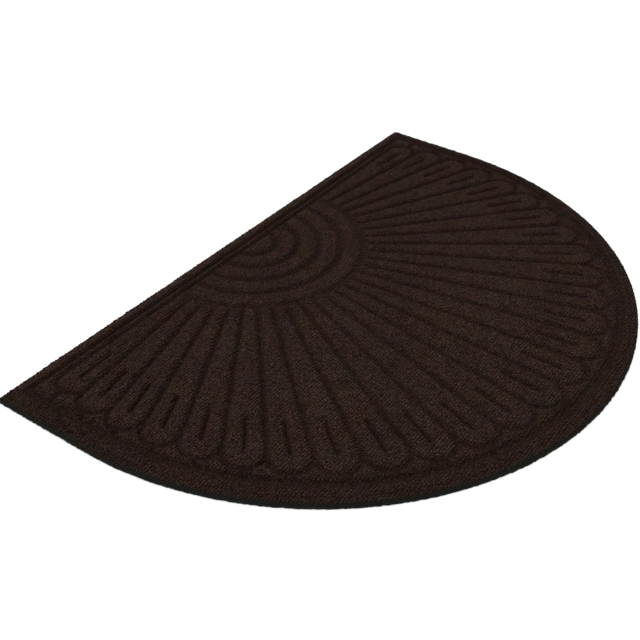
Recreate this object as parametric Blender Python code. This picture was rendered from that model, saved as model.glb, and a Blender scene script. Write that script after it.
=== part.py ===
"""Half-round entrance mat with a fan relief.

A flat D-shaped mat: a straight back edge, two short straight sides and a
half-circle front.  It has two layers:

  backing_rubber  flat rubber sheet, seen as a dark band round the cut edge
  face_pile       needled pile sheet bonded on top, pressed into a relief of
                  border, bead, half rings, rayed petals and corner mounds

Metres, +Z up.  The origin is the middle of the outline's box, on the
underside.  +X runs along the straight edge, and the straight edge is at +Y.
"""
import bpy
from math import sin, cos, pi, radians, sqrt, asin, atan2
from mathutils import Vector
from mathutils.geometry import delaunay_2d_cdt

MM = 0.001

# ---- outline -------------------------------------------------------------
WIDTH = 914 * MM            # along the straight edge
DEPTH = 600 * MM            # straight edge to the front of the curve
RADIUS = WIDTH / 2          # of the half circle
BACK_Y = DEPTH / 2
ARC_Y = -BACK_Y + RADIUS    # centre of the half circle
ARC_STEPS = 84

# ---- layers, heights above the floor --------------------------------------
RUBBER_TOP = 4.0 * MM
GAP = 0.3 * MM
FACE_BOTTOM = RUBBER_TOP + GAP
GROOVE_Z = 5.8 * MM         # floor of every groove
LIP_Z = 8.0 * MM            # top of the pile at the cut edge
BORDER_Z = 8.6 * MM         # top of the border band
RIDGE_Z = 9.5 * MM          # top of rings, petals, mounds
SLOT_Z = 6.6 * MM           # floor of the petals' slots
DRAFT = 1.3 * MM            # how far a ridge's side leans in over its height

# ---- border, distances in from the outline ---------------------------------
BAND_STRAIGHT = 15.0 * MM   # band along the straight edge
BAND_CURVE = 19.5 * MM      # band along the sides and the curve
CHANNEL_CURVE = 27.5 * MM   # far side of the channel inside that band
BEAD_NEAR = 21.3 * MM       # thin bead along the straight edge
BEAD_FAR = 27.0 * MM        # 3.2 mm short of the fan's straight side
FAN_INSET = 30.2 * MM       # centre of the fan, and of the groove beyond the bead

# The relief is laid out in an outline of the same size that sits this far off
# the cut outline, so that its border is wider on the left than on the right.
RELIEF_OFF = Vector((7.0 * MM, 3.0 * MM))

# ---- fan ---------------------------------------------------------------------
PETALS = 27
STRAIGHT_GROOVE = 6.4 * MM  # groove that the fan's straight side ends at
BOSS_R = 30.0 * MM          # half disc in the middle
RING_PITCH = 32.75 * MM     # spacing of the ring grooves
RING_GROOVE = 8.5 * MM      # width of a ring groove at the pile's top
FIRST_RING_GROOVE = 34.2 * MM
RINGS = 4
PETAL_START = 169.5 * MM    # inner end of the petals
PETAL_GROOVE = 5.6 * MM     # groove between two petals, at its floor
TIP_INSET = 40.0 * MM       # from a petal's tip to the outline
END_TIP_INSET = 51.0 * MM   # the same for the first and the last petal
TIP_GROOVE = 5.6 * MM       # groove round a tip
TIP_STEPS = 8
LINK_GROOVE = 6.0 * MM      # short groove from a tip out to the channel
SLOT_WIDTH = 4.6 * MM
SLOT_LENGTH = 57.0 * MM
SLOT_FROM_TIP = 28.0 * MM

FAN_Y = BACK_Y - FAN_INSET
HALF_STEP = pi / PETALS / 2


# ---- outline and its insets --------------------------------------------------
def d_outline(straight_in, curve_in):
    """The mat's outline moved in by straight_in along the straight edge and
    by curve_in along the sides and the half circle, counter-clockwise."""
    top = BACK_Y - straight_in
    r = RADIUS - curve_in
    pts = [Vector((r, top)), Vector((-r, top))]
    for i in range(ARC_STEPS + 1):
        a = pi + pi * i / ARC_STEPS
        pts.append(Vector((r * cos(a), ARC_Y + r * sin(a))))
    return pts


def edge_distance(p):
    """Distance from p to the sides and curve of the outline."""
    if p.y >= ARC_Y:
        return RADIUS - abs(p.x)
    return RADIUS - (p - Vector((0, ARC_Y))).length


def fan_point(angle, r):
    """Point at r from the fan's centre; angle 0 is +X and pi is -X."""
    return Vector((r * cos(angle), FAN_Y - r * sin(angle)))


def ray_to_inset(angle, inset, side=0.0):
    """Where a line from the fan's centre, shifted sideways by side, comes
    within inset of the outline."""
    u = Vector((cos(angle), -sin(angle)))
    n = Vector((sin(angle), cos(angle))) * side
    lo, hi = 0.0, WIDTH
    for _ in range(60):
        mid = (lo + hi) / 2
        if edge_distance(Vector((0, FAN_Y)) + u * mid + n) > inset:
            lo = mid
        else:
            hi = mid
    return Vector((0, FAN_Y)) + u * lo + n


class Tip:
    """The round end of one petal: a circle that touches both of its sides."""

    def __init__(self, index):
        self.axis = (2 * index + 1) * HALF_STEP
        inset = END_TIP_INSET if index in (0, PETALS - 1) else TIP_INSET
        lo, hi = 0.2 * WIDTH, WIDTH
        for _ in range(60):
            mid = (lo + hi) / 2
            if edge_distance(fan_point(self.axis, mid)) - self._r(mid) > inset:
                lo = mid
            else:
                hi = mid
        self.centre_r = lo
        self.radius = self._r(lo)
        self.centre = fan_point(self.axis, lo)

    @staticmethod
    def _r(centre_r):
        return centre_r * sin(HALF_STEP) - PETAL_GROOVE / 2


TIPS = [Tip(i) for i in range(PETALS)]


# ---- ridge shapes: each takes an inset d and keeps its number of points -------
def petal(tip, d):
    half = PETAL_GROOVE / 2 + d
    pts = []
    r_in = PETAL_START + d
    edge = HALF_STEP - asin(half / r_in)
    for k in range(3):
        pts.append(fan_point(tip.axis + edge - edge * k, r_in))
    sweep = pi / 2 + HALF_STEP
    for k in range(TIP_STEPS + 1):
        a = tip.axis - sweep + 2 * sweep * k / TIP_STEPS
        pts.append(tip.centre + Vector((cos(a), -sin(a))) * (tip.radius - d))
    return pts


def slot(tip, d):
    """Short slot on a petal's axis, with round ends."""
    far = tip.centre_r + tip.radius - SLOT_FROM_TIP - SLOT_WIDTH / 2
    near = far - SLOT_LENGTH + SLOT_WIDTH
    pts = []
    for end, r in ((0, far), (1, near)):
        for k in range(4):
            a = tip.axis + pi * end - pi / 2 + pi * k / 3
            pts.append(fan_point(tip.axis, r)
                       + Vector((cos(a), -sin(a))) * (SLOT_WIDTH / 2 - d))
    return pts


def half_ring(r_in, r_out, steps, d):
    """Half ring, or half disc where r_in is 0, that ends at the straight
    groove."""
    cut = STRAIGHT_GROOVE / 2 + d
    pts = []
    a0 = asin(cut / (r_out - d))
    for k in range(steps + 1):
        pts.append(fan_point(a0 + (pi - 2 * a0) * k / steps, r_out - d))
    if r_in:
        a0 = asin(cut / (r_in + d))
        for k in range(steps, -1, -1):
            pts.append(fan_point(a0 + (pi - 2 * a0) * k / steps, r_in + d))
    return pts


def circle_arc(tip, start, end, radius, steps):
    """Points on a circle round a tip's centre, from start to end."""
    a = atan2(*reversed(start - tip.centre))
    b = atan2(*reversed(end - tip.centre))
    turn = (b - a + pi) % (2 * pi) - pi
    return [tip.centre + Vector((cos(a + turn * k / steps), sin(a + turn * k / steps)))
            * radius for k in range(1, steps)]


def tip_side(tip, side, radius, link):
    """Where the circle of this radius round a tip meets the short groove."""
    along = sqrt(radius ** 2 - link ** 2)
    u = Vector((cos(tip.axis), -sin(tip.axis)))
    n = Vector((sin(tip.axis), cos(tip.axis)))
    return tip.centre + u * along + n * side * link


def between_tips(tip_a, tip_b, ra, rb):
    """Where the circles of radius ra and rb round two tips meet, on the side
    away from the fan's centre."""
    line = tip_b.centre - tip_a.centre
    gap = line.length
    along = (gap ** 2 + ra ** 2 - rb ** 2) / (2 * gap)
    line.normalize()
    across = Vector((-line.y, line.x))
    if across.dot(tip_a.centre - Vector((0, FAN_Y))) < 0:
        across = -across
    return tip_a.centre + line * along + across * sqrt(ra ** 2 - along ** 2)


def mound(tip_a, tip_b, d):
    """Three-sided mound between two neighbouring tips and the channel."""
    link = LINK_GROOVE / 2 + d
    inset = CHANNEL_CURVE + d
    ra, rb = (t.radius + TIP_GROOVE + d for t in (tip_a, tip_b))
    start = ray_to_inset(tip_a.axis, inset, -link)
    end = ray_to_inset(tip_b.axis, inset, link)
    pts = []
    angles = [atan2(FAN_Y - p.y, p.x) for p in (start, end)]
    pts.append(start)
    for k in range(1, 4):
        pts.append(ray_to_inset(angles[0] + (angles[1] - angles[0]) * k / 4, inset))
    pts.append(end)
    far_a, far_b = tip_side(tip_a, -1, ra, link), tip_side(tip_b, 1, rb, link)
    low = between_tips(tip_a, tip_b, ra, rb)
    pts.append(far_b)
    pts += circle_arc(tip_b, far_b, low, rb, 4)
    pts.append(low)
    pts += circle_arc(tip_a, low, far_a, ra, 4)
    pts.append(far_a)
    return pts


def bead(d):
    """Thin bead along the straight edge, whose two ends widen into the
    corner mounds round the first and last tips."""
    link = LINK_GROOVE / 2 + d
    y_top = BACK_Y - BEAD_NEAR - d
    y_low = BACK_Y - BEAD_FAR + d
    right = []
    tip = TIPS[0]
    r = tip.radius + PETAL_GROOVE / 2 + STRAIGHT_GROOVE / 2 + d
    x_side = RADIUS - CHANNEL_CURVE - d
    outer = ray_to_inset(tip.axis, CHANNEL_CURVE + d, link)
    right.append(Vector((x_side, y_top)))
    right.append(Vector((x_side, (y_top + outer.y) / 2)))
    right.append(outer)
    far = tip_side(tip, 1, r, link)
    near = Vector((tip.centre.x, y_low))
    right.append(far)
    right += circle_arc(tip, far, near, r, 4)
    right.append(near)
    left = [Vector((-p.x, p.y)) for p in reversed(right)]
    return left + right


# ---- mesh building ----------------------------------------------------------------
class Shell:
    """Collects points, side walls and flat fills of one closed body."""

    def __init__(self):
        self.points = []
        self.faces = []

    def loop(self, pts, z):
        first = len(self.points)
        self.points += [(p.x, p.y, z) for p in pts]
        return list(range(first, first + len(pts)))

    def wall(self, low, high):
        """Band between two loops with the same number of points."""
        n = len(low)
        for i in range(n):
            j = (i + 1) % n
            self.faces.append((low[i], low[j], high[j], high[i]))

    def fill(self, outer, holes, up):
        """Triangles inside outer and outside every hole."""
        ids = list(outer) + [i for h in holes for i in h]
        flat = [Vector(self.points[i][:2]) for i in ids]
        edges, first = [], 0
        for ring in [outer] + list(holes):
            n = len(ring)
            edges += [(first + k, first + (k + 1) % n) for k in range(n)]
            first += n
        _, _, tris, origin, _, _ = delaunay_2d_cdt(flat, edges, [], 1, 1e-8)
        borders = [[Vector(self.points[i][:2]) for i in h] for h in holes]
        boxes = [(min(p.x for p in b), max(p.x for p in b),
                  min(p.y for p in b), max(p.y for p in b)) for b in borders]
        source = [o[0] for o in origin]
        for t in tris:
            c = sum((flat[source[k]] for k in t), Vector((0, 0))) / 3
            if any(bx[0] < c.x < bx[1] and bx[2] < c.y < bx[3] and inside(c, b)
                   for b, bx in zip(borders, boxes)):
                continue
            tri = [ids[source[k]] for k in t]
            a, b, e = (Vector(self.points[i][:2]) for i in tri)
            if ((b - a).cross(e - a) > 0) != up:
                tri.reverse()
            self.faces.append(tuple(tri))

    def make(self, name, material):
        mesh = bpy.data.meshes.new(name)
        mesh.from_pydata(self.points, [], self.faces)
        mesh.validate()
        mesh.materials.append(material)
        mesh.shade_smooth()
        mesh.set_sharp_from_angle(angle=radians(28))
        obj = bpy.data.objects.new(name, mesh)
        bpy.context.scene.collection.objects.link(obj)
        return obj


def inside(p, ring):
    hit = False
    for k in range(len(ring)):
        a, b = ring[k - 1], ring[k]
        if (a.y > p.y) != (b.y > p.y) and \
                p.x < (b.x - a.x) * (p.y - a.y) / (b.y - a.y) + a.x:
            hit = not hit
    return hit


def ccw(pts):
    area = sum(pts[k - 1].cross(pts[k]) for k in range(len(pts)))
    return area > 0


def placed(pts):
    """Points of the relief, moved to where it lies on the mat."""
    return [p + RELIEF_OFF for p in pts]


def ridge(shell, shape, top_z, hole=None):
    """Raises one ridge from the groove floor and returns its foot."""
    foot_pts, crest_pts = placed(shape(0.0)), placed(shape(DRAFT))
    if not ccw(foot_pts):
        foot_pts.reverse()
        crest_pts.reverse()
    foot = shell.loop(foot_pts, GROOVE_Z)
    crest = shell.loop(crest_pts, top_z)
    shell.wall(foot, crest)
    holes = []
    if hole:
        rim_pts, bed_pts = placed(hole(0.0)), placed(hole(DRAFT / 2))
        if not ccw(rim_pts):
            rim_pts.reverse()
            bed_pts.reverse()
        rim = shell.loop(rim_pts, top_z)
        bed = shell.loop(bed_pts, SLOT_Z)
        shell.wall(rim, bed)
        shell.fill(bed, [], True)
        holes.append(rim)
    shell.fill(crest, holes, True)
    return foot


def principled(name, colour, roughness, sheen=0.0):
    material = bpy.data.materials.new(name)
    material.use_nodes = True
    shader = material.node_tree.nodes["Principled BSDF"]
    shader.inputs["Base Color"].default_value = (*colour, 1.0)
    shader.inputs["Roughness"].default_value = roughness
    shader.inputs["Metallic"].default_value = 0.0
    shader.inputs["Sheen Weight"].default_value = sheen
    material.diffuse_color = (*colour, 1.0)
    return material


def build_backing():
    shell = Shell()
    low = shell.loop(d_outline(0, 0), 0.0)
    high = shell.loop(d_outline(0, 0), RUBBER_TOP)
    shell.wall(low, high)
    shell.fill(low, [], False)
    shell.fill(high, [], True)
    shell.make("backing_rubber", principled("rubber", (0.014, 0.016, 0.014), 0.8))


def build_face():
    shell = Shell()
    bottom = shell.loop(d_outline(0, 0), FACE_BOTTOM)
    lip = shell.loop(d_outline(0, 0), LIP_Z)
    shell.wall(bottom, lip)
    shell.fill(bottom, [], False)
    shoulder = shell.loop(d_outline(3 * MM, 3 * MM), BORDER_Z)
    crest = shell.loop(placed(d_outline(BAND_STRAIGHT - DRAFT, BAND_CURVE - DRAFT)), BORDER_Z)
    foot = shell.loop(placed(d_outline(BAND_STRAIGHT, BAND_CURVE)), GROOVE_Z)
    shell.wall(lip, shoulder)
    shell.wall(shoulder, crest)
    shell.wall(crest, foot)

    feet = [ridge(shell, bead, BORDER_Z)]
    feet.append(ridge(shell, lambda d: half_ring(0, BOSS_R, 14, d), RIDGE_Z))
    for k in range(RINGS):
        r_in = FIRST_RING_GROOVE + k * RING_PITCH + RING_GROOVE / 2
        r_out = r_in + RING_PITCH - RING_GROOVE
        feet.append(ridge(shell, lambda d: half_ring(r_in, r_out, 18 + 4 * k, d), RIDGE_Z))
    for tip in TIPS:
        feet.append(ridge(shell, lambda d: petal(tip, d), RIDGE_Z,
                          lambda d: slot(tip, d)))
    for tip_a, tip_b in zip(TIPS, TIPS[1:]):
        feet.append(ridge(shell, lambda d: mound(tip_a, tip_b, d), RIDGE_Z))
    shell.fill(foot, feet, True)
    shell.make("face_pile", principled("pile", (0.022, 0.013, 0.010), 0.95, 0.2))


def main():
    for obj in list(bpy.data.objects):
        bpy.data.objects.remove(obj, do_unlink=True)
    build_backing()
    build_face()


main()
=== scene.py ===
"""Looks of the half-round entrance mat: the pressed pile face, its tufts and
loose fibres, the rubber backing, the floor, the light and the camera.

Metres, +Z up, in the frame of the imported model.
"""
import math
import bpy
import numpy as np
from mathutils import Matrix, Vector


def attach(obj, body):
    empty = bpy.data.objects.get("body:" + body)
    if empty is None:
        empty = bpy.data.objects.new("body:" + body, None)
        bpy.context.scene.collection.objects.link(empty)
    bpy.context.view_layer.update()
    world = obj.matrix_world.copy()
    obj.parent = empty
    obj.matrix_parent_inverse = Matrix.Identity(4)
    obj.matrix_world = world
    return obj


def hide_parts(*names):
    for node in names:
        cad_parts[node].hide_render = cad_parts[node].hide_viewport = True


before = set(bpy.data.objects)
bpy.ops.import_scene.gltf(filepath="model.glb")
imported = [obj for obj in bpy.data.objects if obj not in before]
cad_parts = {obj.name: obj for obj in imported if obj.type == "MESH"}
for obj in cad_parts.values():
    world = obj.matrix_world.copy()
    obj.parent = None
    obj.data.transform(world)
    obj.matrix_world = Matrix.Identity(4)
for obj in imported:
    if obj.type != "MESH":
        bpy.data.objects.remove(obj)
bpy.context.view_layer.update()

MM = 0.001
RNG = np.random.default_rng(11)

# ---- sizes of the solids ------------------------------------------------------
WIDTH, DEPTH = 914 * MM, 600 * MM
RADIUS = WIDTH / 2
BACK_Y = DEPTH / 2
ARC_Y = -BACK_Y + RADIUS
RUBBER_TOP, FACE_BOTTOM = 4.0 * MM, 4.3 * MM
GROOVE_Z, SLOT_Z = 5.8 * MM, 6.6 * MM
LIP_Z, BORDER_Z, RIDGE_Z = 8.0 * MM, 8.6 * MM, 9.5 * MM
OFF_X, OFF_Y = 7.0 * MM, 3.0 * MM       # the relief's outline, off the cut one
BAND_STRAIGHT, BAND_CURVE, CHANNEL_CURVE = 15.0 * MM, 19.5 * MM, 27.5 * MM
BEAD_NEAR, BEAD_FAR, FAN_INSET = 21.3 * MM, 27.0 * MM, 30.2 * MM
PETALS = 27
STRAIGHT_GROOVE = 6.4 * MM
BOSS_R, RING_PITCH, RING_GROOVE = 30.0 * MM, 32.75 * MM, 8.5 * MM
FIRST_RING_GROOVE, RINGS = 34.2 * MM, 4
PETAL_START, PETAL_GROOVE = 169.5 * MM, 5.6 * MM
TIP_INSET, END_TIP_INSET = 40.0 * MM, 51.0 * MM
TIP_GROOVE, LINK_GROOVE = 5.6 * MM, 6.0 * MM
SLOT_WIDTH, SLOT_LENGTH, SLOT_FROM_TIP = 4.6 * MM, 57.0 * MM, 28.0 * MM
FAN_Y = BACK_Y - FAN_INSET
HALF_STEP = math.pi / PETALS / 2

# ---- the pile --------------------------------------------------------------------
ROW_PITCH = 4.0 * MM        # rows of tufts run along the straight edge
TUFT_PITCH = 2.9 * MM       # along a row
TUFT_TALL = 1.25 * MM       # above the pressed sheet, on a ridge
FOOT, SHOULDER = 2.5 * MM, 6.0 * MM     # a ridge's side, beyond its foot and inside
SLOT_FOOT, SLOT_SIDE = 1.9 * MM, 4.8 * MM
PRESSED_Z, SLOT_PRESSED_Z = 4.75 * MM, 5.1 * MM
SHEET_CELLS = 190           # grid cells from the middle to one side


# ---- relief ----------------------------------------------------------------------
def rim_distance(x, y):
    """Distance in from the straight edge, and from the sides and curve."""
    ds = BACK_Y - y
    dc = RADIUS - np.where(y >= ARC_Y, np.abs(x), np.hypot(x, y - ARC_Y))
    return ds, dc


def tip_centres():
    """Distance of each tip's centre from the fan's centre, and its radius."""
    centres = []
    for i in range(PETALS):
        a = (2 * i + 1) * HALF_STEP
        inset = END_TIP_INSET if i in (0, PETALS - 1) else TIP_INSET
        lo, hi = 0.2 * WIDTH, WIDTH
        for _ in range(50):
            mid = (lo + hi) / 2
            _, dc = rim_distance(mid * math.cos(a), FAN_Y - mid * math.sin(a))
            if dc - (mid * math.sin(HALF_STEP) - PETAL_GROOVE / 2) > inset:
                lo = mid
            else:
                hi = mid
        centres.append(lo)
    c = np.array(centres)
    return c, c * math.sin(HALF_STEP) - PETAL_GROOVE / 2


TIP_C, TIP_R = tip_centres()


def swell(s, foot, side):
    """From 0 on a groove's line to 1 on a ridge's crest, rounded."""
    return 1 - (1 - np.clip((s + foot) / (foot + side), 0, 1)) ** 2.0


def relief(x, y):
    """For each place: how far it lies inside a ridge, the ridge's crest
    height, and how far it lies outside a slot."""
    x, y = x - OFF_X, y - OFF_Y
    ds, dc = rim_distance(x, y)
    phi = np.arctan2(FAN_Y - y, x)
    phi = np.where(phi < -math.pi / 2, phi + 2 * math.pi, phi)
    r = np.hypot(x, FAN_Y - y)
    i = np.clip((phi / (2 * HALF_STEP)).astype(int), 0, PETALS - 1)
    off = phi - (2 * i + 1) * HALF_STEP
    u, v = r * np.cos(off), r * np.sin(off)
    c, rho = TIP_C[i], TIP_R[i]
    d = np.hypot(u - c, v)
    at_tip = (u - c) * math.cos(HALF_STEP) + np.abs(v) * math.sin(HALF_STEP) > 0
    below = FAN_Y - y

    side = r * np.sin(np.clip(HALF_STEP - np.abs(off), -1, 1)) - PETAL_GROOVE / 2
    petal = np.minimum(np.where(at_tip, rho - d, side), r - PETAL_START)
    petal = np.where(below > 0, petal, -1.0)
    near = c + rho - SLOT_FROM_TIP - SLOT_LENGTH + SLOT_WIDTH / 2
    far = c + rho - SLOT_FROM_TIP - SLOT_WIDTH / 2
    slot = np.hypot(u - np.clip(u, near, far), v) - SLOT_WIDTH / 2

    cut = below - STRAIGHT_GROOVE / 2
    rings = np.minimum(BOSS_R - r, cut)
    for k in range(RINGS):
        r_in = FIRST_RING_GROOVE + k * RING_PITCH + RING_GROOVE / 2
        r_out = r_in + RING_PITCH - RING_GROOVE
        rings = np.maximum(rings, np.minimum(np.minimum(r - r_in, r_out - r), cut))

    j = np.clip(i + np.where(v > 0, 1, -1), 0, PETALS - 1)
    off_j = phi - (2 * j + 1) * HALF_STEP
    d_j = np.hypot(r * np.cos(off_j) - TIP_C[j], r * np.sin(off_j))
    link = np.abs(v) - LINK_GROOVE / 2
    corner = (j == i) | (below < 0)
    mound = np.minimum(np.minimum(dc - CHANNEL_CURVE, link),
                       np.minimum(d - rho, d_j - TIP_R[j]) - TIP_GROOVE)
    mound = np.where(at_tip & ~corner, mound, -1.0)
    gap = (PETAL_GROOVE + STRAIGHT_GROOVE) / 2
    horn = np.minimum(np.minimum(dc - CHANNEL_CURVE, ds - BEAD_NEAR),
                      np.minimum(d - rho - gap, link))
    past = np.abs(x) > TIP_C[0] * math.cos(HALF_STEP)
    bead = np.minimum(np.minimum(ds - BEAD_NEAR, BEAD_FAR - ds), dc - CHANNEL_CURVE)
    bead = np.maximum(bead, np.where(corner & past, horn, -1.0))

    band = np.maximum(BAND_STRAIGHT - ds, BAND_CURVE - dc)
    shapes = np.stack([band, bead, rings, petal, mound])
    which = shapes.argmax(0)
    crest = np.array([BORDER_Z, BORDER_Z, RIDGE_Z, RIDGE_Z, RIDGE_Z])[which]
    inside = np.take_along_axis(shapes, which[None], 0)[0]
    return inside, crest, np.where(which == 3, slot, 1.0)


def body_height(x, y):
    """Height of the pressed sheet under its tufts, and how little it is
    pressed: 0 on a groove's floor and 1 on a crest. The second value also
    sets the painted groove shade in the pile's colour. It is pushed below 0
    along the groove cores and the line by the curved edge, as painted dark
    lines. It is held up in the middle petals, round the rings and where the
    groove floor is raised, where the painted shade is kept lighter."""
    ds, dc = rim_distance(x, y)
    stray_x = 0.7 * MM * hash_noise(x / (8 * MM), y / (8 * MM), 71)
    stray_y = 0.7 * MM * hash_noise(x / (8 * MM), y / (8 * MM), 72)
    s, crest, slot = relief(x + stray_x, y + stray_y)
    top = crest - TUFT_TALL * 0.75
    ins, inc = rim_distance(x - OFF_X, y - OFF_Y)
    u, v = x - OFF_X, FAN_Y + OFF_Y - y
    r = np.hypot(u, v)
    across = u / np.maximum(r, MM)
    petals = np.clip((r - 176 * MM) / (30 * MM), 0, 1)
    fan = petals * (0.02 + 0.32 * across.clip(0) ** 2 + 0.10 * across.clip(-1, 0) ** 2)
    fan = fan * np.clip((inc - 40 * MM) / (12 * MM), 0, 1)
    straight = 0.52 * np.clip((31 * MM - ins) / (2 * MM), 0, 1) * (inc > 30 * MM)
    # core: a painted dark line down the middle of the grooves, strongest in petal grooves that run along the
    # straight edge, in the straight groove and in the slots at the ends: painted shade. It also sinks the
    # sheet by up to 0.5 mm.
    core = np.maximum(np.clip((-s - 0.9 * MM) / (1.6 * MM), 0, 1) * np.maximum(fan, straight),
                      np.clip((-slot - 0.3 * MM) / (1.4 * MM), 0, 1) * (0.04 + 0.26 * across ** 2))
    start = np.clip(1 - np.abs(r - 166 * MM) / (14 * MM), 0, 1) * (ins > 31 * MM)
    start = 0.62 * np.minimum(1.6 * start, 1)
    weak = np.clip(1.4 - np.abs(inc - 32 * MM) / (11 * MM), 0, 1)
    weak = weak * np.clip(1.25 - 1.3 * np.abs(across), 0, 1)
    floor = PRESSED_Z + 1.5 * MM * start + 0.9 * MM * weak
    top = top - 0.5 * MM * np.clip(1 - np.abs(r - 178 * MM) / (34 * MM), 0, 1)
    z = floor + (top - floor) * swell(s, FOOT, SHOULDER)
    z = np.minimum(z, SLOT_PRESSED_Z + (z - SLOT_PRESSED_Z) * swell(slot, SLOT_FOOT, SLOT_SIDE))
    line = np.exp(-((dc - 9.4 * MM) / (1.3 * MM)) ** 2)
    z = z - 0.9 * MM * line - 0.25 * MM * (dc < 8.7 * MM)
    z = z - 0.5 * MM * (1 - np.clip(dc / (1.6 * MM), 0, 1)) ** 2
    # least: a lower bound on free, so the grooves in the middle petals and round the rings get less painted
    # shade.
    least = petals * (0.20 * (1 - across ** 2) + 0.10 * (-across).clip(0))
    least = np.maximum(least, 0.22 * np.clip((160 * MM - r) / (6 * MM), 0, 1)
                       * np.clip((ins - 31 * MM) / (3 * MM), 0, 1))
    free = np.minimum(np.maximum(np.clip((s + 1.3 * MM) / (5.3 * MM), 0, 1), least),
                      np.clip((slot + 1.0 * MM) / (5.0 * MM), 0, 1))
    free = np.maximum(free, np.maximum(0.5 * start, 0.34 * weak))
    # free is cut along the line by the curved edge and by the groove cores, which paints shade into those
    # grooves.
    return z - 0.5 * MM * core, free * (1 - 0.6 * line) - core


def lift(x, y):
    """A factor on the pile's colour: darker round the curved border, lighter
    in the curved channel, which eases the painted groove shade there, and a
    painted highlight along the straight edge, where the raised band would
    catch the light from behind."""
    ds, dc = rim_distance(x - OFF_X, y - OFF_Y)
    curve = np.clip((38 * MM - dc) / (6 * MM), 0, 1)
    # Lighter in the channel, easing the painted groove shade there.
    channel = np.clip(1 - np.abs(dc - 23.5 * MM) / (5 * MM), 0, 1)
    # Painted highlight: lighter along the straight edge, where the raised band would catch the light from
    # behind.
    straight = np.clip((14 * MM - ds) / (4 * MM), 0, 1) * np.clip((dc - 14 * MM) / (8 * MM), 0, 1)
    return (1 - 0.20 * curve) * (1 + 0.45 * channel) * (1 + 0.32 * straight)


def at_rim(x, y):
    """How much the pile beside the cut edge takes the cut side's dark colour: painted shade along the rim."""
    ds, dc = rim_distance(x, y)
    reach = 5.0 * MM + 1.7 * MM * hash_noise(x / (6 * MM), y / (6 * MM), 61)
    return 0.85 * np.clip(1 - np.minimum(ds * 2.2, dc) / reach, 0, 1)


# ---- mesh helpers -------------------------------------------------------------------
def hash_noise(x, y, seed):
    """Smooth value noise on a unit grid, from -1 to 1."""
    xi, yi = np.floor(x).astype(np.int64), np.floor(y).astype(np.int64)
    fx, fy = x - xi, y - yi
    fx, fy = fx * fx * (3 - 2 * fx), fy * fy * (3 - 2 * fy)

    def at(a, b):
        h = (a * 374761393 + b * 668265263 + seed * 982451653) & 0xFFFFFFFF
        h = ((h ^ (h >> 13)) * 1274126177) & 0xFFFFFFFF
        return ((h ^ (h >> 16)) & 0xFFFF) / 32767.5 - 1

    a = at(xi, yi) * (1 - fx) + at(xi + 1, yi) * fx
    b = at(xi, yi + 1) * (1 - fx) + at(xi + 1, yi + 1) * fx
    return a * (1 - fy) + b * fy


def make_mesh(name, co, faces, material, smooth=True, attributes=None):
    """An object from points and a list of arrays of faces, each array with
    faces of one length, or of lists for single large faces."""
    me = bpy.data.meshes.new(name)
    loops = np.concatenate([np.asarray(f).ravel() for f in faces]).astype(np.int32)
    sizes = np.concatenate([np.full(len(f), f.shape[1]) if isinstance(f, np.ndarray) and f.ndim == 2
                            else np.array([len(f)]) for f in faces])
    me.vertices.add(len(co))
    me.vertices.foreach_set("co", np.asarray(co, np.float32).ravel())
    me.loops.add(len(loops))
    me.loops.foreach_set("vertex_index", loops)
    me.polygons.add(len(sizes))
    starts = np.concatenate([[0], np.cumsum(sizes)[:-1]]).astype(np.int32)
    me.polygons.foreach_set("loop_start", starts)
    me.update(calc_edges=True)
    if me.validate():
        print(name, "mesh was corrected")
    me.polygons.foreach_set("use_smooth", np.full(len(me.polygons), smooth))
    for key, values in (attributes or {}).items():
        layer = me.attributes.new(key, "FLOAT", "POINT")
        layer.data.foreach_set("value", np.asarray(values, np.float32))
    uv = me.uv_layers.new(name="UVMap")
    index = np.empty(len(me.loops), np.int32)
    me.loops.foreach_get("vertex_index", index)
    flat = np.asarray(co)[index][:, :2]
    uv.data.foreach_set("uv", ((flat + [RADIUS, BACK_Y]) / WIDTH).astype(np.float32).ravel())
    me.materials.append(material)
    obj = bpy.data.objects.new(name, me)
    bpy.context.scene.collection.objects.link(obj)
    return obj


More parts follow.
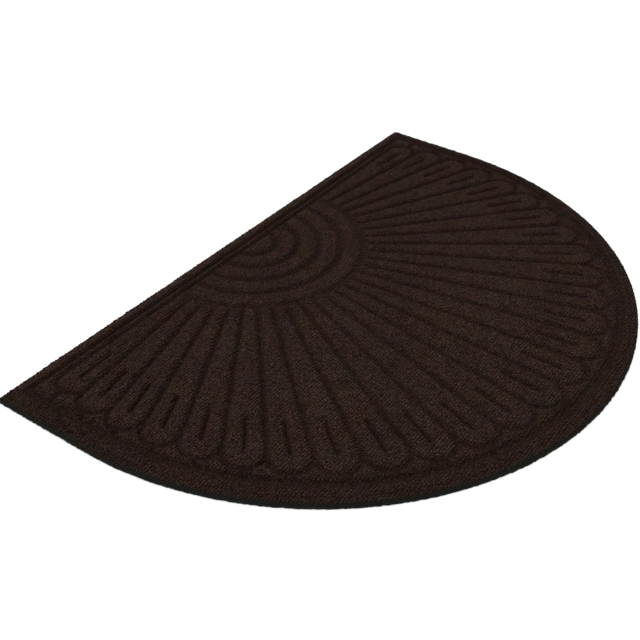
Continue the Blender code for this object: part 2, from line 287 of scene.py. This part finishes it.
# ---- materials -------------------------------------------------------------------------
class Nodes:
    """Short names for building a node tree."""

    def __init__(self, name):
        self.material = bpy.data.materials.new(name)
        self.material.use_nodes = True
        self.tree = self.material.node_tree
        self.shader = self.tree.nodes["Principled BSDF"]

    def add(self, kind, **values):
        node = self.tree.nodes.new(kind)
        for key, value in values.items():
            setattr(node, key, value)
        return node

    def link(self, out, into):
        self.tree.links.new(out, into)

    def noise(self, coords, scale, detail=2.0, rough=0.5, kind="3D"):
        node = self.add("ShaderNodeTexNoise", noise_dimensions=kind)
        node.inputs["Scale"].default_value = scale
        node.inputs["Detail"].default_value = detail
        node.inputs["Roughness"].default_value = rough
        self.link(coords, node.inputs["Vector"])
        return node.outputs["Fac"]

    def ramp(self, value, low, high, to_low=0.0, to_high=1.0):
        node = self.add("ShaderNodeMapRange")
        for key, number in zip(("From Min", "From Max", "To Min", "To Max"),
                               (low, high, to_low, to_high)):
            node.inputs[key].default_value = number
        self.link(value, node.inputs["Value"])
        return node.outputs["Result"]

    def math(self, how, a, b):
        node = self.add("ShaderNodeMath", operation=how)
        for k, value in enumerate((a, b)):
            if isinstance(value, (int, float)):
                node.inputs[k].default_value = value
            else:
                self.link(value, node.inputs[k])
        return node.outputs[0]

    def mix(self, how, factor, a, b):
        node = self.add("ShaderNodeMix", data_type="RGBA", blend_type=how)
        for key, value in (("Factor", factor), ("A", a), ("B", b)):
            socket = [s for s in node.inputs if s.name == key and s.enabled][0]
            if isinstance(value, (int, float)):
                socket.default_value = value
            elif isinstance(value, tuple):
                socket.default_value = (*value, 1.0)
            else:
                self.link(value, socket)
        return [s for s in node.outputs if s.enabled][0]

    def coords(self, scale=(1, 1, 1), turn=0.0):
        if not hasattr(self, "_object"):
            self._object = self.add("ShaderNodeTexCoord").outputs["Object"]
        node = self.add("ShaderNodeMapping")
        node.inputs["Scale"].default_value = scale
        node.inputs["Rotation"].default_value = (0, 0, turn)
        self.link(self._object, node.inputs["Vector"])
        return node.outputs["Vector"]

    def attribute(self, name):
        return self.add("ShaderNodeAttribute", attribute_name=name).outputs["Fac"]


def pile_material(name, dark, mid, light, groove_press_and_shade):
    """Heather pile: each tuft has its own tone, with light and dark fibres,
    soft clouding over the whole mat and a flatter groove. Painted shade
    darkens the grooves (partly the pressed pile's own darker colour) and
    the tufts' feet, with painted light at their tips, and the lift attribute
    paints lighter and darker bands round the border."""
    n = Nodes(name)
    tone = n.attribute("tone")
    free = n.attribute("free")
    tip = n.attribute("tip")
    plain = n.coords()
    clump = n.noise(plain, 150, 3.0, 0.6)
    fibre = n.noise(n.coords((1, 1.25, 1), 0.35), 760, 2.0, 0.7)
    cloud = n.noise(plain, 11, 3.0, 0.55)
    amount = n.math("ADD", n.ramp(tone, -1, 1, -0.42, 0.42), n.ramp(clump, 0.3, 0.7, 0.30, 0.70))
    patch = n.noise(plain, 42, 2.0, 0.5)
    strength = n.math("MULTIPLY", n.ramp(patch, 0.36, 0.62, 0.62, 1.12), n.ramp(free, -0.2, 0.6, 0.5, 1.0))
    amount = n.math("ADD", amount, n.math("MULTIPLY", strength, n.ramp(fibre, 0.32, 0.68, -1.95, 1.95)))
    colour = n.mix("MIX", n.ramp(amount, -0.35, 0.5), dark, mid)
    colour = n.mix("MIX", n.ramp(amount, 0.5, 1.5), colour, light)
    # The lift attribute brings painted light and painted shade round the border; the clouding is the pile's
    # own.
    shade = n.math("MULTIPLY", n.ramp(cloud, 0.3, 0.7, 0.93, 1.07), n.attribute("lift"))
    # Painted shade at the tufts' feet and painted light at their tips, by the tip attribute.
    shade = n.math("MULTIPLY", shade, n.ramp(tip, 0.0, 1.0, 0.5, 1.15))
    grey = n.add("ShaderNodeCombineColor")
    # Painted groove shade: the colour falls to the given factors where free is low, partly the pressed pile's
    # own darker colour and partly painted shade.
    for k, low in enumerate(groove_press_and_shade):
        n.link(n.math("MULTIPLY", shade, n.ramp(free, -0.42, 1.0, low, 1.0)), grey.inputs[k])
    colour = n.mix("MULTIPLY", 1.0, colour, grey.outputs[0])
    warm = n.noise(n.coords((1, 1, 1), 0.9), 34, 3.0, 0.6)
    colour = n.mix("MULTIPLY", n.ramp(warm, 0.5, 0.66), colour, (1.05, 0.95, 0.86))
    colour = n.mix("MULTIPLY", n.ramp(warm, 0.5, 0.34), colour, (0.94, 0.98, 1.08))
    rose = n.noise(n.coords((1, 1, 1), 2.1), 52, 3.0, 0.6)
    colour = n.mix("MULTIPLY", n.ramp(rose, 0.5, 0.66), colour, (1.05, 0.88, 1.00))
    colour = n.mix("MULTIPLY", n.ramp(rose, 0.5, 0.34), colour, (0.96, 1.04, 0.88))
    # The cut side and the pile by the rim take the cut side's colour: partly its own, partly painted shade.
    side = n.ramp(n.attribute("side"), 0.0, 1.0)
    colour = n.mix("MIX", side, colour, CUT_SIDE_AND_SHADE)
    n.link(colour, n.shader.inputs["Base Color"])
    n.link(n.ramp(fibre, 0.3, 0.7, 0.82, 0.98), n.shader.inputs["Roughness"])
    bump = n.add("ShaderNodeBump")
    bump.inputs["Strength"].default_value = 0.75
    bump.inputs["Distance"].default_value = 0.45 * MM
    strands = n.noise(n.coords((1, 2.6, 1), 0.5), 1500, 3.0, 0.65)
    n.link(n.math("ADD", strands, n.math("MULTIPLY", fibre, 0.8)), bump.inputs["Height"])
    n.link(bump.outputs["Normal"], n.shader.inputs["Normal"])
    n.shader.inputs["Specular IOR Level"].default_value = 0.03
    n.shader.inputs["Sheen Weight"].default_value = 0.015
    n.shader.inputs["Sheen Roughness"].default_value = 0.5
    n.shader.inputs["Sheen Tint"].default_value = (0.75, 0.55, 0.45, 1)
    return n.material


def rubber_material():
    """Black moulded rubber: fine grain, grey bloom and a few rubbed spots."""
    n = Nodes("rubber_black")
    plain = n.coords()
    grain = n.noise(plain, 1400, 3.0, 0.6)
    bloom = n.noise(plain, 26, 4.0, 0.6)
    spots = n.noise(plain, 260, 2.0, 0.6)
    colour = n.mix("MIX", n.ramp(bloom, 0.35, 0.7), (0.0086, 0.0096, 0.0080), (0.0145, 0.0160, 0.0134))
    colour = n.mix("MIX", n.ramp(spots, 0.62, 0.72, 0.0, 0.5), colour, (0.020, 0.023, 0.020))
    n.link(colour, n.shader.inputs["Base Color"])
    n.link(n.ramp(grain, 0.3, 0.7, 0.6, 0.88), n.shader.inputs["Roughness"])
    bump = n.add("ShaderNodeBump")
    bump.inputs["Strength"].default_value = 0.5
    bump.inputs["Distance"].default_value = 0.2 * MM
    n.link(n.math("ADD", grain, n.math("MULTIPLY", spots, 0.6)), bump.inputs["Height"])
    n.link(bump.outputs["Normal"], n.shader.inputs["Normal"])
    n.shader.inputs["Specular IOR Level"].default_value = 0.06
    return n.material


DARK, MID, LIGHT = (0.0084, 0.0042, 0.0031), (0.0278, 0.0146, 0.0112), (0.080, 0.0485, 0.0390)
# The dark colour of the pile's cut side and the pile next to it: partly the cut edge's own colour, partly
# painted shade.
CUT_SIDE_AND_SHADE = (0.0125, 0.0133, 0.0110)
PILE = pile_material("pile_heather", DARK, MID, LIGHT, (0.28, 0.23, 0.21))
# The sheet under the tufts is coloured darker than the tufts: painted shade deep in the pile.
SHADED_SHEET = pile_material("pile_ground_shaded", (0.0085, 0.0044, 0.0032), (0.0200, 0.0108, 0.0078),
                      (0.045, 0.0275, 0.021), (0.34, 0.29, 0.26))
RUBBER = rubber_material()


# ---- the pressed sheet ------------------------------------------------------------------------
def build_sheet():
    """The textile body: a grid pressed into the relief, its corners pulled
    onto the ridges' feet and its rim onto the outline, and closed below."""
    g = RADIUS / SHEET_CELLS
    nx, ny = 2 * SHEET_CELLS + 1, int(DEPTH / g) + 2
    x = np.linspace(-RADIUS, RADIUS, nx)
    y = BACK_Y - np.arange(ny) * g
    X, Y = np.meshgrid(x, y)
    ds, dc = rim_distance(X, Y)
    inside = np.minimum(ds, dc) >= -1e-9
    cell = inside[:-1, :-1] & inside[1:, :-1] & inside[:-1, 1:] & inside[1:, 1:]
    index = np.arange(nx * ny).reshape(ny, nx)
    quads = np.stack([index[1:, :-1], index[1:, 1:], index[:-1, 1:], index[:-1, :-1]], -1)[cell]
    used, quads = np.unique(quads, return_inverse=True)
    quads = quads.reshape(-1, 4)
    px, py = X.ravel()[used].copy(), Y.ravel()[used].copy()

    ends = np.stack([quads, np.roll(quads, -1, 1)], -1).reshape(-1, 2)
    key = ends[:, 0] * len(used) + ends[:, 1]
    back = ends[:, 1] * len(used) + ends[:, 0]
    free = ends[~np.isin(key, back)]
    after = dict(free.tolist())
    start = int(free[0, 0])
    rim = [start]
    while after[rim[-1]] != start:
        rim.append(after[rim[-1]])
    rim = np.array(rim)

    e = 0.05 * MM
    s = relief(px, py)[0]
    gx = (relief(px + e, py)[0] - relief(px - e, py)[0]) / (2 * e)
    gy = (relief(px, py + e)[0] - relief(px, py - e)[0]) / (2 * e)
    steep = np.hypot(gx, gy)
    near = (np.abs(s) < 0.42 * g) & (steep > 0.8) & (steep < 1.2)
    near[rim] = False
    px[near] -= (s * gx / steep ** 2)[near]
    py[near] -= (s * gy / steep ** 2)[near]
    low = py[rim] < ARC_Y
    away = np.hypot(px[rim], py[rim] - ARC_Y)
    px[rim] = np.where(low, px[rim] / away * RADIUS, px[rim])
    py[rim] = np.where(low, ARC_Y + (py[rim] - ARC_Y) / away * RADIUS, py[rim])

    z, free_up = body_height(px, py)
    z = z + 0.12 * MM * hash_noise(px / (3.1 * MM), py / (3.3 * MM), 5)
    top = np.stack([px, py, z], 1)
    levels, walls = [top], []
    above = rim
    count = len(top)
    wave = hash_noise(np.arange(len(rim)) * 0.9, np.zeros(len(rim)), 3)
    for k, share in enumerate((0.5, 0.05)):
        ring = top[rim].copy()
        ring[:, 2] = FACE_BOTTOM + (ring[:, 2] - FACE_BOTTOM) * share
        push = 1 + (0.25 * MM * wave * (k == 0) + 0.1 * MM * (k == 0)) / RADIUS
        ring[:, 0] *= push
        if k:
            ring[:, 2] = FACE_BOTTOM
        levels.append(ring)
        below = count + np.arange(len(rim))
        walls.append(np.stack([above, below, np.roll(below, -1), np.roll(above, -1)], 1))
        above = below
        count += len(rim)
    co = np.concatenate(levels)
    tone = hash_noise(co[:, 0] / (2.4 * MM), co[:, 1] / (2.4 * MM), 9)
    up = np.concatenate([free_up, np.full(2 * len(rim), 0.6)])
    # The sheet's cut side takes the cut side's dark colour, partly painted shade.
    side = np.concatenate([np.zeros(len(top)), np.ones(2 * len(rim))])
    side[rim] = 0.9
    return make_mesh("face_sheet", co, [quads, *walls, list(above[::-1])], SHADED_SHEET,
                     attributes={"tone": tone, "free": up, "side": side,
                                 "tip": np.full(len(co), 0.75), "lift": lift(co[:, 0], co[:, 1])})


# ---- tufts -----------------------------------------------------------------------------------
def tuft_places():
    rows = int(DEPTH / ROW_PITCH)
    places = []
    for k in range(rows):
        y = BACK_Y - (k + 0.36) * ROW_PITCH
        reach = RADIUS if y >= ARC_Y else math.sqrt(max(RADIUS ** 2 - (y - ARC_Y) ** 2, 0))
        n = int(2 * reach / TUFT_PITCH)
        if n < 2:
            continue
        x = (np.arange(n) - (n - 1) / 2) * TUFT_PITCH
        x = x + RNG.uniform(-0.32, 0.32, n) * TUFT_PITCH
        wander = 0.22 * ROW_PITCH * hash_noise(x / (31 * MM), np.full(n, k * 0.37), 21)
        places.append(np.stack([x, y + wander + RNG.normal(0, 0.09, n) * ROW_PITCH], 1))
    p = np.concatenate(places)
    ds, dc = rim_distance(p[:, 0], p[:, 1])
    return p[np.minimum(ds, dc) > 0.9 * MM]


def keep_inside(x, y, spare):
    """Places outside the outline, moved back to just beyond it."""
    reach = RADIUS + spare
    away = np.maximum(np.hypot(x, y - ARC_Y), 1e-6)
    scale = np.where((y < ARC_Y) & (away > reach), reach / away, 1.0)
    x, y = np.clip(x * scale, -reach, reach), np.where(y < ARC_Y, ARC_Y + (y - ARC_Y) * scale, y)
    return x, np.minimum(y, BACK_Y + 5 * spare)


def build_tufts(places, name):
    """Low rounded tufts, each a closed lump that leans its own way, sunk a
    little into the sheet and following its slope."""
    n = len(places)
    sides = 5
    x0, y0 = places[:, :1], places[:, 1:]
    _, free = body_height(x0[:, 0], y0[:, 0])
    tall = TUFT_TALL * (0.26 + 0.74 * free.clip(0)) * np.clip(RNG.normal(1, 0.25, n), 0.4, 1.8)
    tall *= 1 + 0.12 * hash_noise(x0[:, 0] / (9 * MM), y0[:, 0] / (9 * MM), 31)
    wide = np.clip(RNG.normal(1, 0.12, n), 0.75, 1.3)[:, None]
    turn = RNG.normal(0.15, 0.45, n)[:, None]
    spin = RNG.uniform(0, 2 * math.pi / sides, n)[:, None]
    a = np.arange(sides)[None] * 2 * math.pi / sides + spin
    lean_x = RNG.normal(0, 0.32 * MM, n)[:, None]
    lean_y = RNG.normal(0, 0.35 * MM, n)[:, None]

    def ring(scale, height, lean):
        px = 1.78 * MM * scale * wide * np.cos(a)
        py = 2.22 * MM * scale * np.sin(a)
        px = px + RNG.normal(0, 0.12 * MM, px.shape) * scale
        py = py + RNG.normal(0, 0.12 * MM, py.shape) * scale
        qx = x0 + px * np.cos(turn) - py * np.sin(turn) + lean_x * lean
        qy = y0 + px * np.sin(turn) + py * np.cos(turn) + lean_y * lean
        return qx, qy, np.broadcast_to(height[:, None], qx.shape)

    parts = [ring(1.0, np.full(n, -0.45 * MM), 0.0),
             ring(0.66, tall * np.clip(RNG.normal(0.74, 0.06, n), 0.5, 0.9), 0.7)]
    apex = (x0 + lean_x, y0 + lean_y, tall[:, None])
    qx = np.concatenate([parts[0][0], parts[1][0], apex[0]], 1)
    qy = np.concatenate([parts[0][1], parts[1][1], apex[1]], 1)
    up = np.concatenate([parts[0][2], parts[1][2], apex[2]], 1)
    qx, qy = keep_inside(qx, qy, 0.2 * MM)
    z, free = body_height(qx, qy)
    co = np.stack([qx, qy, z + up], -1).reshape(-1, 3)
    per = 2 * sides + 1
    base = (np.arange(n) * per)[:, None]
    k = np.arange(sides)
    nxt = (k + 1) % sides
    walls = np.stack([k, nxt, nxt + sides, k + sides], 1)
    cap = np.stack([k + sides, nxt + sides, np.full(sides, 2 * sides)], 1)
    quads = (base[:, :, None] + walls[None]).reshape(-1, 4)
    tris = (base[:, :, None] + cap[None]).reshape(-1, 3)
    floor = (base + np.arange(sides)[::-1][None])
    tone = np.clip(RNG.normal(0, 0.42, n), -1.2, 1.4)
    tone = tone + 0.35 * hash_noise(x0[:, 0] / (6.5 * MM), y0[:, 0] / (6.5 * MM), 41)
    tone = np.repeat(tone, per)
    tip = np.tile(np.concatenate([np.zeros(sides), np.full(sides, 0.75), [1.0]]), n)
    return make_mesh(name, co, [quads, tris, floor], PILE,
                     attributes={"tone": tone, "free": free.ravel(), "tip": tip,
                                 "side": at_rim(co[:, 0], co[:, 1]),
                                 "lift": lift(co[:, 0], co[:, 1])})


# ---- loose fibres -------------------------------------------------------------------------------
def build_fibres(name, root, toward, length, thick, tone, side):
    """Thin closed spikes: a three-sided root and a point."""
    n = len(root)
    toward = toward / np.linalg.norm(toward, axis=1)[:, None]
    helper = np.where(np.abs(toward[:, 2:3]) < 0.9, [[0, 0, 1.0]], [[1.0, 0, 0]])
    s = np.cross(toward, helper)
    s /= np.linalg.norm(s, axis=1)[:, None]
    t = np.cross(toward, s)
    rings = [root + thick[:, None] * (math.cos(a) * s + math.sin(a) * t)
             for a in (0, 2 * math.pi / 3, 4 * math.pi / 3)]
    point = root + toward * length[:, None]
    co = np.stack([*rings, point], 1).reshape(-1, 3)
    base = (np.arange(n) * 4)[:, None]
    tris = (base[:, :, None] + np.array([[0, 1, 3], [1, 2, 3], [2, 0, 3], [0, 2, 1]])[None]).reshape(-1, 3)
    return make_mesh(name, co, [tris], PILE, smooth=False,
                     attributes={"tone": np.repeat(tone, 4), "free": np.ones(4 * n),
                                 "tip": np.full(4 * n, 0.8), "side": np.repeat(side, 4),
                                 "lift": lift(co[:, 0], co[:, 1])})


def edge_point(t):
    """Place on the outline at t from 0 to 1 of its length, and its outward
    direction: straight edge, side, curve, side."""
    side = BACK_Y - ARC_Y
    lengths = np.array([WIDTH, side, math.pi * RADIUS, side])
    ends = np.cumsum(lengths)
    d = t * ends[-1]
    arc = math.pi + np.clip(d - ends[1], 0, lengths[2]) / RADIUS
    places = [(RADIUS - d, np.full_like(d, BACK_Y), 0 * d, 0 * d + 1),
              (0 * d - RADIUS, BACK_Y - (d - ends[0]), 0 * d - 1, 0 * d),
              (RADIUS * np.cos(arc), ARC_Y + RADIUS * np.sin(arc), np.cos(arc), np.sin(arc)),
              (0 * d + RADIUS, ARC_Y + (d - ends[2]), 0 * d + 1, 0 * d)]
    which = np.searchsorted(ends, d, side="right").clip(0, 3)
    return [np.choose(which, [p[k] for p in places]) for k in range(4)]


def build_edge_fibres(n=6500):
    x, y, ox, oy = edge_point(RNG.uniform(0, 1, n))
    z = FACE_BOTTOM + RNG.uniform(0.15, 0.95, n) * (LIP_Z - FACE_BOTTOM)
    root = np.stack([x - ox * 0.3 * MM, y - oy * 0.3 * MM, z], 1)
    toward = np.stack([ox, oy, RNG.normal(0.05, 0.45, n)], 1)
    toward[:, :2] += RNG.normal(0, 0.55, (n, 2))
    length = RNG.gamma(3.0, 0.42 * MM, n).clip(0.5 * MM, 3.2 * MM)
    # Fibres low on the cut edge take the cut side's dark colour, partly painted shade.
    return build_fibres("edge_fibres", root, toward, length,
                        RNG.uniform(0.07, 0.14, n) * MM, RNG.normal(0, 0.6, n),
                        np.clip((LIP_Z - z) / (1.5 * MM), 0, 1))


def build_face_fibres(n=11000):
    p = np.stack([RNG.uniform(-RADIUS, RADIUS, 2 * n), RNG.uniform(-BACK_Y, BACK_Y, 2 * n)], 1)
    ds, dc = rim_distance(p[:, 0], p[:, 1])
    p = p[np.minimum(ds, dc) > 2 * MM][:n]
    z, free = body_height(p[:, 0], p[:, 1])
    root = np.stack([p[:, 0], p[:, 1], z + TUFT_TALL * 0.5 * free.clip(0)], 1)
    a = RNG.uniform(0, 2 * math.pi, len(p))
    toward = np.stack([np.cos(a), np.sin(a), RNG.uniform(0.25, 0.9, len(p))], 1)
    length = RNG.gamma(4.0, 0.4 * MM, len(p)).clip(0.7 * MM, 3.5 * MM)
    return build_fibres("face_fibres", root, toward, length,
                        RNG.uniform(0.06, 0.11, len(p)) * MM, RNG.normal(0.5, 0.5, len(p)),
                        np.zeros(len(p)))


# ---- rubber backing -----------------------------------------------------------------------------
def build_backing():
    """Rubber sheet with a cut edge: small ripples along it, and soft corners
    above and below."""
    n = 1800
    x, y, ox, oy = edge_point((np.arange(n) + 0.5) / n)
    t = np.arange(n)
    levels = []
    for z, inset, rough, seed in ((0.0, 0.5, 0.5, 1), (0.45, 0.1, 0.75, 1), (1.6, 0.0, 0.75, 2),
                                  (2.9, 0.05, 0.75, 3), (3.75, 0.15, 0.65, 4), (4.0, 0.6, 0.3, 4)):
        wob = (hash_noise(t * 0.42, np.zeros(n), 1) * 0.7
               + hash_noise(t * 0.75, np.zeros(n), seed) * 0.5) * rough
        wob[:6] *= np.linspace(0, 1, 6)
        wob[-6:] *= np.linspace(1, 0, 6)
        d = (wob - inset + 0.4) * MM
        levels.append(np.stack([x + ox * d, y + oy * d, np.full(n, z * MM)], 1))
    co = np.concatenate(levels)
    walls = []
    k = np.arange(n)
    for a in range(len(levels) - 1):
        low, high = a * n + k, (a + 1) * n + k
        walls.append(np.stack([low, np.roll(low, -1), np.roll(high, -1), high], 1))
    top = list((len(levels) - 1) * n + k)
    bottom = list(k[::-1])
    return make_mesh("backing", co, [*walls, top, bottom], RUBBER)


sheet = build_sheet()
backing = build_backing()
places = tuft_places()
order = np.argsort(places[:, 0], kind="stable")
tufts = [build_tufts(places[part], f"pile_tufts_{k + 1}")
         for k, part in enumerate(np.array_split(order, 4))]
edge_fibres = build_edge_fibres()
face_fibres = build_face_fibres()

for piece in (sheet, *tufts, edge_fibres, face_fibres, backing):
    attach(piece, "root")
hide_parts("face_pile")
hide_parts("backing_rubber")


# ---- floor, light, camera -----------------------------------------------------------------------
def build_floor():
    n = Nodes("floor_pale")
    n.shader.inputs["Base Color"].default_value = (0.94, 0.94, 0.94, 1)
    n.link(n.ramp(n.noise(n.coords(), 40, 3.0), 0.3, 0.7, 0.85, 0.95), n.shader.inputs["Roughness"])
    n.shader.inputs["Specular IOR Level"].default_value = 0.1
    s = 6.0
    floor = make_mesh("floor", np.array([[-s, -s, 0], [s, -s, 0], [s, s, 0], [-s, s, 0]]) - [0, 0, 0.15 * MM],
                      [np.array([[0, 1, 2, 3]])], n.material, smooth=False)
    return floor


def soft_sun(name, toward, strength, angle, lit=None, colour=(1, 1, 1)):
    """A soft distant light from a direction, on all objects or some."""
    light = bpy.data.lights.new(name, "SUN")
    light.energy = strength
    light.angle = math.radians(angle)
    light.color = colour
    obj = bpy.data.objects.new(name, light)
    obj.rotation_euler = (-Vector(toward)).to_track_quat("-Z", "Y").to_euler()
    bpy.context.scene.collection.objects.link(obj)
    if lit:
        group = bpy.data.collections.new(name + "_lit")
        for piece in lit:
            group.objects.link(piece)
        obj.light_linking.receiver_collection = group


def build_light(mat, floor):
    """A soft light from behind the straight edge and one overhead, over a
    weak even fill; the floor has an overhead light of its own."""
    world = bpy.data.worlds.new("studio")
    world.use_nodes = True
    bpy.context.scene.world = world
    back = world.node_tree.nodes["Background"]
    back.inputs["Color"].default_value = (1.0, 1.0, 1.0, 1)
    back.inputs["Strength"].default_value = 0.30
    soft_sun("key_back", (0.12, 0.80, 1.0), 1.49, 28, mat)
    soft_sun("overhead", (-0.42, -0.03, 1.0), 1.64, 50, mat)
    soft_sun("floor_light", (-0.1, -0.1, 1.0), 2.9, 50, [floor])


def build_camera():
    """Focal length in pixels of a 640-pixel frame, azimuth, elevation and
    roll in degrees, distance and aim in widths of the mat."""
    focal, azimuth, elevation, roll = 1021.5, -55.954, 36.493, 1.675
    distance, aim_x, aim_y = 1.5238, -0.09245, 0.06627
    middle = BACK_Y / WIDTH - 0.30
    a, e, r = (math.radians(v) for v in (azimuth, elevation, roll))
    back = Vector((math.sin(a) * math.cos(e), -math.cos(a) * math.cos(e), math.sin(e)))
    right = Vector((math.cos(a), math.sin(a), 0))
    up = back.cross(right)
    right, up = (math.cos(r) * right + math.sin(r) * up,
                 -math.sin(r) * right + math.cos(r) * up)
    place = (Vector((aim_x, aim_y + middle, 0)) + back * distance) * WIDTH
    camera = bpy.data.cameras.new("camera")
    camera.sensor_fit = "HORIZONTAL"
    camera.sensor_width = 36.0
    camera.lens = focal * 36.0 / 640
    camera.clip_start, camera.clip_end = 0.05, 50
    obj = bpy.data.objects.new("camera", camera)
    m = Matrix((right, up, back)).transposed().to_4x4()
    m.translation = place
    obj.matrix_world = m
    bpy.context.scene.collection.objects.link(obj)
    bpy.context.scene.camera = obj


build_light([sheet, backing, *tufts, edge_fibres, face_fibres], build_floor())
build_camera()
view = bpy.context.scene.view_settings
view.view_transform = "Standard"
view.look = "None"
view.exposure = 0.0
view.gamma = 1.0

faces = {o.name: sum(len(p.vertices) - 2 for p in o.data.polygons)
         for o in (sheet, backing, *tufts, edge_fibres, face_fibres)}
print("triangles", faces, sum(faces.values()))
